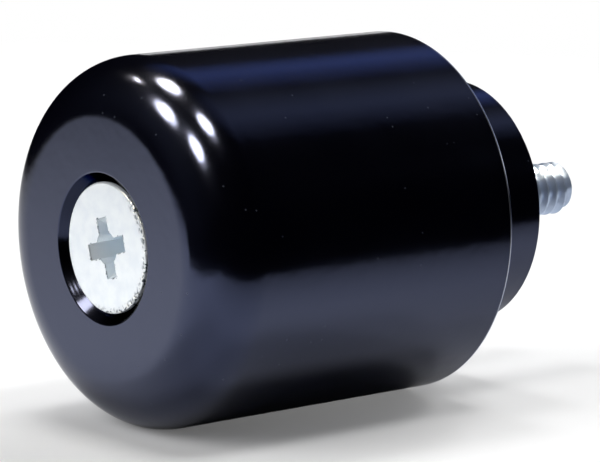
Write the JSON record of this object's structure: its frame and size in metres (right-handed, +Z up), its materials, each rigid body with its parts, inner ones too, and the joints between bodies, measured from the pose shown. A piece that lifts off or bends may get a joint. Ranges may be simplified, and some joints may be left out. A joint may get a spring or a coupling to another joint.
{
  "type": "bar end weight",
  "caption": "Black cylindrical handlebar end weight with a rounded front edge, a stepped spigot behind it and a countersunk cross-recess screw through its centre.",
  "frame": {"origin": "centre of the spigot's end face, which butts on the end of the bar, where the screw leaves it", "axes": "+X along the bar's axis, from the flat front face towards the thread; +Z up"},
  "size_m": [0.0522, 0.032, 0.032],
  "materials": {
    "gloss_black_coat": "gloss black coat on turned steel",
    "bright_zinc_plate": "bright zinc plate on cold-headed steel"
  },
  "bodies": {
    "root": {"weight_body": "gloss_black_coat", "screw": "bright_zinc_plate"}
  },
  "joints": []
}
